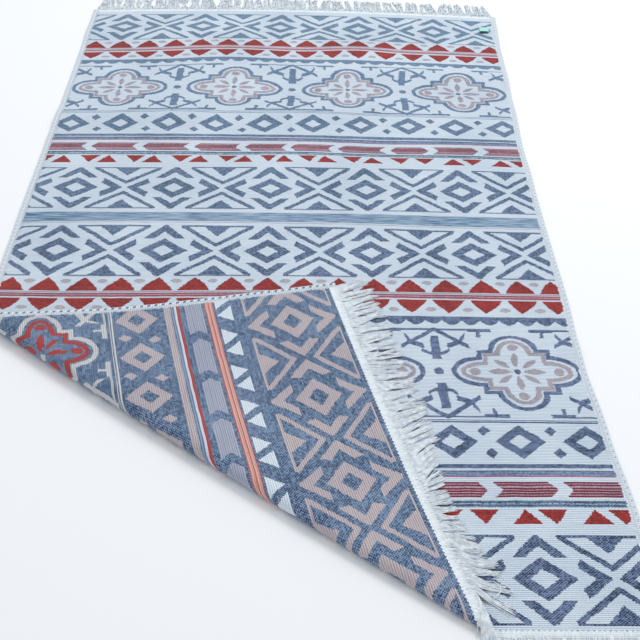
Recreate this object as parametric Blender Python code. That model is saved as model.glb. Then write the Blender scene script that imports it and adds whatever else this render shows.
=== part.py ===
"""A flat-woven kilim rug lying on the floor with its near-left corner rolled over onto its face.

Metres, +Z up. X runs across the rug, Y along it from the near end to the far end, and the floor is
Z = 0. Every woven piece is first made flat, in cloth sizes: u across from the left selvedge, v along
from the near end of the pattern, and w above the middle of the cloth, on its face side. lay() then
puts each point where it lies on the floor, in the roll or on the folded corner.
"""

import math
import random

import bmesh
import bpy
from mathutils import Vector

# The rug as it comes off the loom
WIDTH = 0.800
PATTERN_LENGTH = 1.466
HEADING = 0.016
CLOTH_THICK = 0.0024
GAP = 0.0003

# The overcast cord sewn round each selvedge, a flattened bar that stands a little proud of the face
EDGING_WIDE = 0.0066
EDGING_THICK = 0.0034
HEXAGON_FLAT = 0.5 * math.cos(math.radians(30.0))

# The cloth and the fringe's strips start this far in from the selvedge
INSET = EDGING_WIDE + GAP

# The fringe: locks of knotted-off warp that grow from the last strip of the white heading
STRIP_WIDE = 0.005
STRIP_GAP = 0.0007
LOCK_PITCH = 0.009
LOCK_ROOT_WIDE = 0.0042
LOCK_TIP_WIDE = 0.0022
LOCK_TIP_THICK = 0.0014
LOCK_LENGTH = 0.058

# The sewn label near the far right corner
LABEL_U = 0.776
LABEL_V = 1.409
LABEL_WIDE = 0.016
LABEL_DEEP = 0.018
LABEL_THICK = 0.001
LABEL_LIFT = 0.005

# The fold: the roll starts on the line from FOLD_LEFT up the left selvedge to FOLD_NEAR along the near end.
# Past it the cloth turns over in an arc of this length, then slopes down to lie on its own face.
FOLD_LEFT = 0.5017
FOLD_NEAR = 0.6236
ROLL_AT_LEFT = 0.0533
ROLL_AT_NEAR = 0.0309
ROLL_BELLY = 0.0125
ROLL_SLOPE = 0.152
SETTLE_POWER = 1.5
FLAP_REST = 0.0052

# How far the middle of the far end is woven past its edges, and where across the rug that middle is
FAR_BOW = 0.0176
BOW_CENTRE = 0.46

# The selvedges wander. Columns: v, shift of the left edge, of the middle, and of the right edge, all to +X
WANDER = (
    (-0.02, 0.000, 0.000, 0.011),
    (0.15, -0.001, 0.000, 0.008),
    (0.28, -0.002, 0.001, 0.001),
    (0.42, -0.004, 0.002, -0.006),
    (0.55, -0.005, 0.004, -0.003),
    (0.72, -0.004, 0.005, -0.005),
    (0.95, -0.001, 0.003, -0.005),
    (1.10, 0.003, 0.000, 0.000),
    (1.30, 0.005, 0.000, 0.005),
    (1.50, 0.006, 0.000, 0.013),
)

# Low ripples across the rug. Columns: v of the crest at the left, v at the right, half width along v, height,
# then where it starts and ends across u
RIPPLES = (
    (0.700, 0.730, 0.050, 0.0034, 0.00, 0.62),
    (0.905, 0.880, 0.060, 0.0040, 0.20, 0.86),
    (1.040, 1.085, 0.055, 0.0046, -0.10, 0.56),
    (1.235, 1.205, 0.060, 0.0042, 0.30, 0.92),
    (1.375, 1.390, 0.050, 0.0030, -0.08, 0.44),
    (0.400, 0.430, 0.045, 0.0028, 0.66, 0.92),
)

# The way the fringe's locks point on the floor, in degrees from +X, by where they grow along u.
# It turns round the end of the roll. Columns: u, direction
NEAR_SWEEP = (
    (0.00, 12.0),
    (0.20, 9.0),
    (0.35, 2.0),
    (0.45, -8.0),
    (0.55, -16.0),
    (0.585, -22.0),
    (0.613, -42.0),
    (0.645, -78.0),
    (0.70, -86.0),
    (0.80, -90.0),
)
# A mm of sway either way, so that the locks aren't ruled lines
LOCK_SWAY = 0.0011
SWAY_WAVES = 0.65
LOCK_SPREAD = 2.0
SHORTEST_LOCK = 0.90
# Shares of a lock's length from bend to bend, and how it leans out of its root and then comes down
FAR_STEPS = (0.20, 0.40, 0.40)
NEAR_STEPS = (0.14, 0.22, 0.30, 0.34)
ROOT_LEAN = 0.45
FALL_FROM = 0.12
FALL_OVER = 0.70
FALL_POWER = 1.3

# The near end's strip is parted here, just before it enters the roll, into the floor's part and the corner's
SPLIT_U = 0.652

# Where the middle of the whole rug lies in plan, from the left selvedge and the near end of the pattern
CENTRE_U = 0.4039
CENTRE_V = 0.7323

# Cuts across the flat pieces, close together only where they bend
RIPPLE_STEP = 0.030
RIPPLE_CUTS_FROM = 0.33
ACROSS_STEP = 0.100
ROLL_STEP = 0.0040
ROLL_CUTS_TO = 0.060
SETTLE_CUTS = (0.085, 0.120, 0.165, 0.220, 0.290)

fold_left = Vector((0.0, FOLD_LEFT))
fold_near = Vector((FOLD_NEAR, 0.0))
fold_length = (fold_near - fold_left).length
fold_along = (fold_near - fold_left) / fold_length
fold_out = Vector((fold_along.y, -fold_along.x))


def roll_curve(steps=80):
    """The roll's section for an arc length of 1: its turn, run and height at each step."""
    turns = []
    run = 0.0
    height = 0.0
    last = 0.0
    for k in range(steps + 1):
        g = k / steps
        turn = (math.pi + ROLL_SLOPE) * (g - math.sin(2 * math.pi * g) / (2 * math.pi))
        if k:
            run += 0.5 * (math.cos(turn) + math.cos(last)) / steps
            height += 0.5 * (math.sin(turn) + math.sin(last)) / steps
        turns.append((turn, run, height))
        last = turn
    return turns


ROLL = roll_curve()


def roll_at(g):
    place = g * (len(ROLL) - 1)
    k = min(int(place), len(ROLL) - 2)
    part = place - k
    return [a + (b - a) * part for a, b in zip(ROLL[k], ROLL[k + 1])]


def eased(rows, at, column):
    """Reads a column of a table at a place in its first column, easing from row to row."""
    if at <= rows[0][0]:
        return rows[0][column]
    for low, high in zip(rows, rows[1:]):
        if at <= high[0]:
            part = (at - low[0]) / (high[0] - low[0])
            part = part * part * (3 - 2 * part)
            return low[column] + (high[column] - low[column]) * part
    return rows[-1][column]


def plan(u, v):
    """Where the cloth's point would lie if nothing were folded: the wandering edges and the bowed bands."""
    across = min(max(u / WIDTH, 0.0), 1.0)
    left = eased(WANDER, v, 1)
    right = eased(WANDER, v, 3)
    middle = eased(WANDER, v, 2) * 4 * across * (1 - across)
    along = min(max(v / PATTERN_LENGTH, 0.0), 1.1)
    bow = FAR_BOW * along**2 * (2 * (across - BOW_CENTRE)) ** 2
    return Vector((u + left + (right - left) * across + middle, v - bow))


def ripple(u, v):
    height = 0.0
    for v_left, v_right, half, high, u_from, u_to in RIPPLES:
        off = (v - v_left - (v_right - v_left) * u / WIDTH) / half
        side = (2 * u - u_from - u_to) / (u_to - u_from)
        if abs(off) < 1 and abs(side) < 1:
            height += high * math.cos(off * math.pi / 2) ** 2 * (1 - side**4)
    return height


def lay(u, v, w=0.0):
    """The place of a cloth point, and the tilt of the cloth there: 0 flat, pi turned over."""
    flat = plan(u, v)
    along = (flat - fold_left).dot(fold_along)
    out = (flat - fold_left).dot(fold_out)
    tilt = 0.0
    run = out
    height = ripple(u, v)
    if out > 0:
        part = min(max(along / fold_length, -0.1), 1.1)
        arc = ROLL_AT_LEFT + (ROLL_AT_NEAR - ROLL_AT_LEFT) * part + ROLL_BELLY * 4 * part * (1 - part)
        tilt, run, height = roll_at(min(out / arc, 1.0))
        run *= arc
        height *= arc
        if out > arc:
            over = out - arc
            drop = height - (FLAP_REST - CLOTH_THICK / 2)
            reach = SETTLE_POWER * drop / math.tan(ROLL_SLOPE)
            height += drop * (max(1 - over / reach, 0.0) ** SETTLE_POWER - 1)
            run -= over
            tilt = math.pi
    run -= w * math.sin(tilt)
    spot = fold_left + fold_along * along + fold_out * run
    return Vector((spot.x - CENTRE_U, spot.y - CENTRE_V, CLOTH_THICK / 2 + height + w * math.cos(tilt))), tilt


def cut(bm, point, normal):
    geometry = list(bm.verts) + list(bm.edges) + list(bm.faces)
    bmesh.ops.bisect_plane(bm, geom=geometry, dist=1e-7, plane_co=point, plane_no=normal)


def bend_into_place(bm, across=True):
    """Cuts a flat piece where it will bend, then lays every point."""
    outs = [k * ROLL_STEP for k in range(int(ROLL_CUTS_TO / ROLL_STEP) + 1)] + list(SETTLE_CUTS)
    for out in outs:
        spot = fold_left + fold_out * out
        cut(bm, (spot.x, spot.y, 0.0), (fold_out.x, fold_out.y, 0.0))
    v = RIPPLE_CUTS_FROM
    while v < PATTERN_LENGTH + HEADING:
        cut(bm, (0.0, v, 0.0), (0.0, 1.0, 0.0))
        v += RIPPLE_STEP
    if across:
        for k in range(1, int(WIDTH / ACROSS_STEP)):
            cut(bm, (k * ACROSS_STEP, 0.0, 0.0), (1.0, 0.0, 0.0))
    bmesh.ops.triangulate(bm, faces=bm.faces[:])
    for vert in bm.verts:
        vert.co = lay(*vert.co)[0]


def flat_bar(u_low, u_high, v_low, v_high, w_low, w_high):
    bm = bmesh.new()
    bmesh.ops.create_cube(bm, size=1.0)
    for vert in bm.verts:
        vert.co.x = u_low if vert.co.x < 0 else u_high
        vert.co.y = v_low if vert.co.y < 0 else v_high
        vert.co.z = w_low if vert.co.z < 0 else w_high
    return bm


def colour(name, red, green, blue, roughness):
    material = bpy.data.materials.new(name)
    material.use_nodes = True
    shader = material.node_tree.nodes["Principled BSDF"]
    shader.inputs["Base Color"].default_value = (red, green, blue, 1.0)
    shader.inputs["Roughness"].default_value = roughness
    shader.inputs["Metallic"].default_value = 0.0
    return material


def finish_piece(bm, name, material, smooth_angle=40.0):
    bmesh.ops.recalc_face_normals(bm, faces=bm.faces[:])
    mesh = bpy.data.meshes.new(name)
    bm.to_mesh(mesh)
    bm.free()
    mesh.materials.append(material)
    mesh.shade_smooth()
    mesh.set_sharp_from_angle(angle=math.radians(smooth_angle))
    piece = bpy.data.objects.new(name, mesh)
    bpy.context.scene.collection.objects.link(piece)
    return piece


def cloth():
    """The one woven cloth, from edging to edging and up to the strips that carry the fringe."""
    end = HEADING - STRIP_WIDE - STRIP_GAP
    half = CLOTH_THICK / 2
    bm = flat_bar(INSET, WIDTH - INSET, -end, PATTERN_LENGTH + end, -half, half)
    bend_into_place(bm)
    return finish_piece(bm, "rug_cloth", cotton_white)


def edging(name, u_low):
    """An overcast cord: a six-sided flattened bar whose underside is level with the cloth's."""
    bm = bmesh.new()
    bmesh.ops.create_cone(bm, cap_ends=True, segments=6, radius1=0.5, radius2=0.5, depth=1.0)
    end = HEADING
    for vert in bm.verts:
        side, up, along = vert.co.y, vert.co.x, vert.co.z
        vert.co.x = u_low + EDGING_WIDE * (0.5 + side)
        vert.co.y = -end if along < 0 else PATTERN_LENGTH + end
        vert.co.z = EDGING_THICK * (0.5 + up / (2 * HEXAGON_FLAT)) - CLOTH_THICK / 2
    bend_into_place(bm, across=False)
    return finish_piece(bm, name, cotton_overcast)


def lock_path(root, outward, bearing, length, far_side, sway):
    """The lock's centre, share of its length and thickness at each bend, from the strip to its tip.

    It leans out of its root, comes down to what it lies on, and runs along its bearing there.
    """
    heading = math.radians(bearing)
    aim = Vector((math.cos(heading), math.sin(heading), 0.0))
    across = Vector((-aim.y, aim.x, 0.0))
    points = []
    spot = root.copy()
    way = outward.copy()
    steps = FAR_STEPS if far_side else NEAR_STEPS
    gone = 0.0
    for k, share in enumerate(steps):
        way = way.lerp(aim, 1.0 if k else ROOT_LEAN)
        way.normalize()
        spot = spot + way * length * share
        gone += share
        thick = CLOTH_THICK + (LOCK_TIP_THICK - CLOTH_THICK) * gone
        floor = thick / 2
        if not far_side and spot.y + CENTRE_V > -HEADING - 3 * GAP:
            floor += CLOTH_THICK + 3 * GAP
        fall = min(max((gone - FALL_FROM) / FALL_OVER, 0.0), 1.0) ** FALL_POWER
        height = max(floor, root.z + (floor - root.z) * fall)
        place = Vector((spot.x, spot.y, height)) + across * sway * math.sin(2 * math.pi * SWAY_WAVES * gone)
        points.append((place, gone, thick))
    return points


def grow_lock(bm, face, root, outward, path, start_side):
    """Extrudes one lock out of the strip's side face, along its path."""
    up_start = start_side.cross(outward)
    signs = {}
    for vert in face.verts:
        off = vert.co - root
        signs[vert] = (off.dot(start_side) > 0, off.dot(up_start) > 0)
    before = root
    for k, (centre, gone, thick) in enumerate(path):
        ahead = path[k + 1][0] if k + 1 < len(path) else centre + (centre - before)
        way = ahead - before
        way.z = 0.0
        way.normalize()
        side = way.cross(Vector((0.0, 0.0, 1.0)))
        if side.dot(start_side) < 0:
            side = -side
        wide = LOCK_ROOT_WIDE + (LOCK_TIP_WIDE - LOCK_ROOT_WIDE) * gone
        old = {tuple(round(c, 7) for c in vert.co): sign for vert, sign in signs.items()}
        face = bmesh.ops.extrude_discrete_faces(bm, faces=[face])["faces"][0]
        signs = {vert: old[tuple(round(c, 7) for c in vert.co)] for vert in face.verts}
        for vert, (right, top) in signs.items():
            offset = side * (wide / 2 if right else -wide / 2)
            offset.z += thick / 2 if top == (up_start.z >= 0 or k == 0) else -thick / 2
            vert.co = centre + offset
        before = centre


def fringe(name, u_low, u_high, far_side, seed):
    """The heading's last strip and its locks, one solid. far_side is the end away from the fold."""
    rng = random.Random(seed)
    outer = PATTERN_LENGTH + HEADING if far_side else -HEADING
    inner = PATTERN_LENGTH + HEADING - STRIP_WIDE if far_side else STRIP_WIDE - HEADING
    half = CLOTH_THICK / 2
    bm = flat_bar(u_low, u_high, min(outer, inner), max(outer, inner), -half, half)
    count = int((u_high - u_low) / LOCK_PITCH)
    pitch = (u_high - u_low) / count
    centres = [u_low + pitch * (k + 0.5) for k in range(count)]
    for centre in centres:
        for edge in (centre - LOCK_ROOT_WIDE / 2, centre + LOCK_ROOT_WIDE / 2):
            cut(bm, (edge, 0.0, 0.0), (1.0, 0.0, 0.0))
    roots = {}
    for face in bm.faces:
        middle = face.calc_center_median()
        if abs(middle.y - outer) > 1e-6:
            continue
        nearest = min(centres, key=lambda c: abs(c - middle.x))
        if abs(nearest - middle.x) < 1e-5:
            roots[nearest] = face
    for vert in bm.verts:
        vert.co = lay(*vert.co)[0]
    reach = 0.001 if far_side else -0.001
    for centre, face in sorted(roots.items()):
        root = face.calc_center_median()
        outward = (lay(centre, outer + reach)[0] - lay(centre, outer)[0]).normalized()
        side = (lay(centre + 0.001, outer)[0] - lay(centre - 0.001, outer)[0]).normalized()
        bearing = 90.0 if far_side else eased(NEAR_SWEEP, centre, 1)
        bearing += rng.uniform(-LOCK_SPREAD, LOCK_SPREAD)
        length = LOCK_LENGTH * rng.uniform(SHORTEST_LOCK, 1.0)
        path = lock_path(root, outward, bearing, length, far_side, rng.uniform(-1, 1) * LOCK_SWAY)
        grow_lock(bm, face, root, outward, path, side)
    bmesh.ops.triangulate(bm, faces=bm.faces[:])
    return finish_piece(bm, name, cotton_fringe)


def label():
    """A small sewn tab, its near edge lifted a little off the cloth."""
    low = CLOTH_THICK / 2 + GAP
    left = LABEL_U - LABEL_WIDE / 2
    bm = flat_bar(left, left + LABEL_WIDE, LABEL_V, LABEL_V + LABEL_DEEP, low, low + LABEL_THICK)
    for k in range(1, 4):
        cut(bm, (0.0, LABEL_V + LABEL_DEEP * k / 4, 0.0), (0.0, 1.0, 0.0))
    for vert in bm.verts:
        lift = LABEL_LIFT * (1 - (vert.co.y - LABEL_V) / LABEL_DEEP) ** 2
        vert.co.z += lift
        vert.co = lay(*vert.co)[0]
    bmesh.ops.triangulate(bm, faces=bm.faces[:])
    return finish_piece(bm, "label", label_green)


for old in list(bpy.data.objects):
    bpy.data.objects.remove(old)

cotton_white = colour("cotton_white", 0.66, 0.73, 0.78, 0.95)
cotton_overcast = colour("cotton_overcast", 0.72, 0.77, 0.80, 0.95)
cotton_fringe = colour("cotton_fringe", 0.78, 0.83, 0.86, 0.95)
label_green = colour("label_green", 0.38, 0.66, 0.62, 0.8)

cloth()
edging("edging_left", 0.0)
edging("edging_right", WIDTH - EDGING_WIDE)
fringe("fringe_far", INSET, WIDTH - INSET, True, 3)
fringe("fringe_near", SPLIT_U + GAP, WIDTH - INSET, False, 5)
fringe("fringe_flap", INSET, SPLIT_U, False, 7)
label()
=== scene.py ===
import math
import random

import bmesh
import bpy
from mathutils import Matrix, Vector


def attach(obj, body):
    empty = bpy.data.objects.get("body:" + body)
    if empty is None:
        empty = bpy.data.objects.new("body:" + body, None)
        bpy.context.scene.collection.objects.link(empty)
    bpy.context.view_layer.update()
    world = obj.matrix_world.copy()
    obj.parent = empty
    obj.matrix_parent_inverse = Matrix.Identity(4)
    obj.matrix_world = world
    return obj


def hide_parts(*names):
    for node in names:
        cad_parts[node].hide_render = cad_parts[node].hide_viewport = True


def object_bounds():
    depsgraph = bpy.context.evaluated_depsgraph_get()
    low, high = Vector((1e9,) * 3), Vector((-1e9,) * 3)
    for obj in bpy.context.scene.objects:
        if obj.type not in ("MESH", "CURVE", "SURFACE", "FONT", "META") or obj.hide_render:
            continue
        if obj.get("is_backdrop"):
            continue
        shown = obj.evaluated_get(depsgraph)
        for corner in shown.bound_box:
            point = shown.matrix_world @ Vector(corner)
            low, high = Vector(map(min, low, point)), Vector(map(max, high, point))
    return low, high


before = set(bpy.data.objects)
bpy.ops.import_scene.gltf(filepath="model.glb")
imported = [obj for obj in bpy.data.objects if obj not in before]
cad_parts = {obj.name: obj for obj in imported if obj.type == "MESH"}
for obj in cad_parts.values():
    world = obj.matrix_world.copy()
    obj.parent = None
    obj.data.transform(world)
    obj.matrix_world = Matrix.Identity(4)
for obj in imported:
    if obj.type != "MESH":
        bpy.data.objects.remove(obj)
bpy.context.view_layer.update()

# The rug's lie on the floor. A kilim is woven flat on its loom; this one lies with low ripples across it and
# its near-left corner rolled over onto its face. Every woven piece below is made in loom sizes (u across from
# the left selvedge, v along from the near end of the pattern, w up off the middle of the cloth), then laid.
WIDTH = 0.800
PATTERN_LENGTH = 1.466
HEADING = 0.016
CLOTH_THICK = 0.0024
FOLD_LEFT = 0.5017
FOLD_NEAR = 0.6236
ROLL_AT_LEFT = 0.0533
ROLL_AT_NEAR = 0.0309
ROLL_BELLY = 0.0125
ROLL_SLOPE = 0.152
ROLL_STEPS = 80
SETTLE_POWER = 1.5
FLAP_REST = 0.0052
FAR_BOW = 0.0176
BOW_CENTRE = 0.46
CENTRE_U = 0.4039
CENTRE_V = 0.7323

# The selvedges wander. Columns: v, shift of the left edge, of the middle, and of the right edge, all to +X
WANDER = (
    (-0.02, 0.000, 0.000, 0.011),
    (0.15, -0.001, 0.000, 0.008),
    (0.28, -0.002, 0.001, 0.001),
    (0.42, -0.004, 0.002, -0.006),
    (0.55, -0.005, 0.004, -0.003),
    (0.72, -0.004, 0.005, -0.005),
    (0.95, -0.001, 0.003, -0.005),
    (1.10, 0.003, 0.000, 0.000),
    (1.30, 0.005, 0.000, 0.005),
    (1.50, 0.006, 0.000, 0.013),
)

# Low ripples. Columns: v of the crest at the left, v at the right, half width along v, height, u from, u to
RIPPLES = (
    (0.700, 0.730, 0.050, 0.0034, 0.00, 0.62),
    (0.905, 0.880, 0.060, 0.0040, 0.20, 0.86),
    (1.040, 1.085, 0.055, 0.0046, -0.10, 0.56),
    (1.235, 1.205, 0.060, 0.0042, 0.30, 0.92),
    (1.375, 1.390, 0.050, 0.0030, -0.08, 0.44),
    (0.400, 0.430, 0.045, 0.0028, 0.66, 0.92),
)

fold_left = Vector((0.0, FOLD_LEFT))
fold_near = Vector((FOLD_NEAR, 0.0))
fold_length = (fold_near - fold_left).length
fold_along = (fold_near - fold_left) / fold_length
fold_out = Vector((fold_along.y, -fold_along.x))

# The roll's section for an arc length of 1: its turn, run and height at each step
roll = []
run = 0.0
height = 0.0
for k in range(ROLL_STEPS + 1):
    g = k / ROLL_STEPS
    turn = (math.pi + ROLL_SLOPE) * (g - math.sin(2 * math.pi * g) / (2 * math.pi))
    if k:
        run += 0.5 * (math.cos(turn) + math.cos(roll[-1][0])) / ROLL_STEPS
        height += 0.5 * (math.sin(turn) + math.sin(roll[-1][0])) / ROLL_STEPS
    roll.append((turn, run, height))


def eased(rows, at, column):
    """Reads a column of a table at a place in its first column, easing from row to row."""
    if at <= rows[0][0]:
        return rows[0][column]
    for low, high in zip(rows, rows[1:]):
        if at <= high[0]:
            part = (at - low[0]) / (high[0] - low[0])
            part = part * part * (3 - 2 * part)
            return low[column] + (high[column] - low[column]) * part
    return rows[-1][column]


def plan(u, v):
    """Where a point of the cloth would lie if nothing were folded."""
    across = min(max(u / WIDTH, 0.0), 1.0)
    left = eased(WANDER, v, 1)
    right = eased(WANDER, v, 3)
    middle = eased(WANDER, v, 2) * 4 * across * (1 - across)
    along = min(max(v / PATTERN_LENGTH, 0.0), 1.1)
    bow = FAR_BOW * along**2 * (2 * (across - BOW_CENTRE)) ** 2
    return Vector((u + left + (right - left) * across + middle, v - bow))


def ripple(u, v):
    height = 0.0
    for v_left, v_right, half, high, u_from, u_to in RIPPLES:
        off = (v - v_left - (v_right - v_left) * u / WIDTH) / half
        side = (2 * u - u_from - u_to) / (u_to - u_from)
        if abs(off) < 1 and abs(side) < 1:
            height += high * math.cos(off * math.pi / 2) ** 2 * (1 - side**4)
    return height


def lay(u, v, w=0.0):
    """Where a loom point comes to lie: on the floor, in the roll or on the folded corner."""
    flat = plan(u, v)
    along = (flat - fold_left).dot(fold_along)
    out = (flat - fold_left).dot(fold_out)
    tilt = 0.0
    run = out
    height = ripple(u, v)
    if out > 0:
        part = min(max(along / fold_length, -0.1), 1.1)
        arc = ROLL_AT_LEFT + (ROLL_AT_NEAR - ROLL_AT_LEFT) * part + ROLL_BELLY * 4 * part * (1 - part)
        place = min(out / arc, 1.0) * ROLL_STEPS
        step = min(int(place), ROLL_STEPS - 1)
        tilt, run, height = [a + (b - a) * (place - step) for a, b in zip(roll[step], roll[step + 1])]
        run *= arc
        height *= arc
        if out > arc:
            over = out - arc
            drop = height - (FLAP_REST - CLOTH_THICK / 2)
            reach = SETTLE_POWER * drop / math.tan(ROLL_SLOPE)
            height += drop * (max(1 - over / reach, 0.0) ** SETTLE_POWER - 1)
            run -= over
            tilt = math.pi
    run -= w * math.sin(tilt)
    spot = fold_left + fold_along * along + fold_out * run
    return Vector((spot.x - CENTRE_U, spot.y - CENTRE_V, CLOTH_THICK / 2 + height + w * math.cos(tilt)))


# The cloth. One double-faced flat weave of cotton, 0.8 m wide, with bands of motifs in blue, red and beige on
# white; each yarn that shows on the face changes places with another on the back, so the turned corner shows
# the same motifs in other colours. It runs from cord to cord and takes in the white headings.
INSET = 0.0069
CELL = 0.0066
ROLL_CUT = 0.0028
ROLL_CUTS_TO = 0.066

# Small puckers have drawn the bands off their straight places, most of all in the far half. Columns: u and v
# of the middle, half width across, half width along, and the pull to +X and to +Y there
PUCKERS = (
    (0.10, 0.55, 0.30, 0.10, -0.004, -0.005),
    (0.72, 0.55, 0.15, 0.08, 0.006, 0.000),
    (0.12, 0.17, 0.20, 0.07, 0.006, 0.000),
    (0.75, 0.20, 0.20, 0.10, -0.004, 0.002),
    (0.30, 0.92, 0.12, 0.06, 0.006, -0.004),
    (0.46, 0.92, 0.14, 0.06, -0.010, 0.000),
    (0.56, 0.94, 0.14, 0.07, -0.003, -0.005),
    (0.05, 1.03, 0.20, 0.06, 0.000, -0.008),
    (0.30, 1.03, 0.12, 0.06, -0.003, -0.007),
    (0.28, 1.24, 0.14, 0.15, 0.000, 0.010),
    (0.42, 1.16, 0.12, 0.10, 0.003, -0.006),
    (0.68, 1.16, 0.22, 0.10, -0.005, -0.005),
    (0.05, 1.31, 0.20, 0.10, 0.000, -0.008),
    (0.52, 1.31, 0.11, 0.08, -0.003, 0.009),
    (0.40, 1.41, 0.12, 0.06, -0.002, -0.004),
    (0.72, 1.42, 0.20, 0.08, -0.007, 0.000),
)

# The last bands are beaten up closer than the rest. Columns: v, shift to +Y
BEATEN_CLOSER = (
    (1.33, 0.000),
    (1.40, -0.008),
)


def grid(columns, rows):
    """A flat grid from 0 to 1 each way."""
    bm = bmesh.new()
    bmesh.ops.create_grid(bm, x_segments=columns, y_segments=rows, size=0.5)
    for vert in bm.verts:
        vert.co.x += 0.5
        vert.co.y += 0.5
    return bm


def pulled(u, v):
    """How far the weave is drawn to +X and to +Y at a place on the cloth."""
    shift_x = 0.0
    shift_y = eased(BEATEN_CLOSER, v, 1)
    for middle_u, middle_v, half_across, half_along, pull_x, pull_y in PUCKERS:
        across = abs(u - middle_u) / half_across
        along = abs(v - middle_v) / half_along
        if across < 1 and along < 1:
            share = (math.cos(across * math.pi / 2) * math.cos(along * math.pi / 2)) ** 2
            shift_x += pull_x * share
            shift_y += pull_y * share
    return shift_x, shift_y


def keep(bm, name, smooth_angle=None):
    """Turns a bmesh into a piece of the rug."""
    mesh = bpy.data.meshes.new(name)
    bm.to_mesh(mesh)
    bm.free()
    mesh.shade_smooth()
    if smooth_angle is not None:
        mesh.set_sharp_from_angle(angle=math.radians(smooth_angle))
    piece = bpy.data.objects.new(name, mesh)
    bpy.context.scene.collection.objects.link(piece)
    return piece


cloth_wide = WIDTH - 2 * INSET
cloth_long = PATTERN_LENGTH + 2 * HEADING
bm = grid(round(cloth_wide / CELL), round(cloth_long / CELL))
for vert in bm.verts:
    vert.co.x = INSET + vert.co.x * cloth_wide
    vert.co.y = vert.co.y * cloth_long - HEADING
for k in range(int(ROLL_CUTS_TO / ROLL_CUT)):
    spot = fold_left + fold_out * (k * ROLL_CUT)
    everything = list(bm.verts) + list(bm.edges) + list(bm.faces)
    bmesh.ops.bisect_plane(
        bm, geom=everything, dist=1e-6, plane_co=(spot.x, spot.y, 0.0), plane_no=(fold_out.x, fold_out.y, 0.0)
    )
chart_layer = bm.loops.layers.uv.new("chart")
loom_layer = bm.loops.layers.uv.new("loom")
places = {}
for vert in bm.verts:
    u, v = vert.co.x, vert.co.y
    shift_x, shift_y = pulled(u, v)
    places[vert] = (u - shift_x, v - shift_y)
for face in bm.faces:
    for loop in face.loops:
        loop[chart_layer].uv = places[loop.vert]
        loop[loom_layer].uv = loop.vert.co.xy
for vert in bm.verts:
    vert.co = lay(vert.co.x, vert.co.y)
cloth = keep(bm, "kilim_cloth")
solid = cloth.modifiers.new("thickness", "SOLIDIFY")
solid.thickness = CLOTH_THICK
solid.offset = 0.0
solid.material_offset = 1

# The chart of the bands, worked out by Math nodes in one group that the face and the back both read.
# Lengths are metres on the loom. The whole sequence of bands is woven twice.
SEQUENCE = 0.7574
SECOND_START = 0.7331
PICK = 0.0013
RIB = 0.0026


class Reading:
    """A number that Math nodes work out at each point of the cloth."""

    def __init__(self, socket):
        self.socket = socket

    def __add__(self, other):
        return worked("ADD", self, other)

    def __sub__(self, other):
        return worked("SUBTRACT", self, other)

    def __rsub__(self, other):
        return worked("SUBTRACT", other, self)

    def __mul__(self, other):
        return worked("MULTIPLY", self, other)

    def __truediv__(self, other):
        return worked("DIVIDE", self, other)

    def __lt__(self, other):
        return worked("LESS_THAN", self, other)

    def __gt__(self, other):
        return worked("GREATER_THAN", self, other)

    def __and__(self, other):
        return worked("MULTIPLY", self, other)

    def __or__(self, other):
        return worked("MAXIMUM", self, other)

    def __abs__(self):
        return worked("ABSOLUTE", self)


def worked(operation, *values):
    tree = next(value for value in values if isinstance(value, Reading)).socket.id_data
    node = tree.nodes.new("ShaderNodeMath")
    node.operation = operation
    for socket, value in zip(node.inputs, values):
        if isinstance(value, Reading):
            tree.links.new(value.socket, socket)
        else:
            socket.default_value = value
    return Reading(node.outputs[0])


def between(value, low, high):
    return (value > low) & (value < high)


def squared(value):
    return value * value


def limited(value):
    """Keeps a number from 0 to 1."""
    return worked("MINIMUM", worked("MAXIMUM", value, 0.0), 1.0)


def from_nearest(value, centre, pitch):
    """How far a place is from the nearest of the motifs that stand a pitch apart."""
    return (worked("FRACT", (value - (centre - pitch / 2)) / pitch) - 0.5) * pitch


def clover(a, b, block_wide, block_high, lobe_wide, lobe_to, side_high, side_to):
    """Inside the medallion's outline: a block with round lobes above, below and at its sides."""
    over = worked("MAXIMUM", b - block_high, 0.0) / (lobe_to - block_high)
    beside = worked("MAXIMUM", a - block_wide, 0.0) / (side_to - block_wide)
    lobes = (squared(a / lobe_wide) + squared(over)) < 1.0
    sides = (squared(beside) + squared(b / side_high)) < 1.0
    return ((a < block_wide) & (b < block_high)) | lobes | sides


def petal(along, across, low, high, half_wide):
    middle = (low + high) / 2
    return abs(across) < (1.0 - squared((along - middle) / (middle - low))) * half_wide


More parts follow.
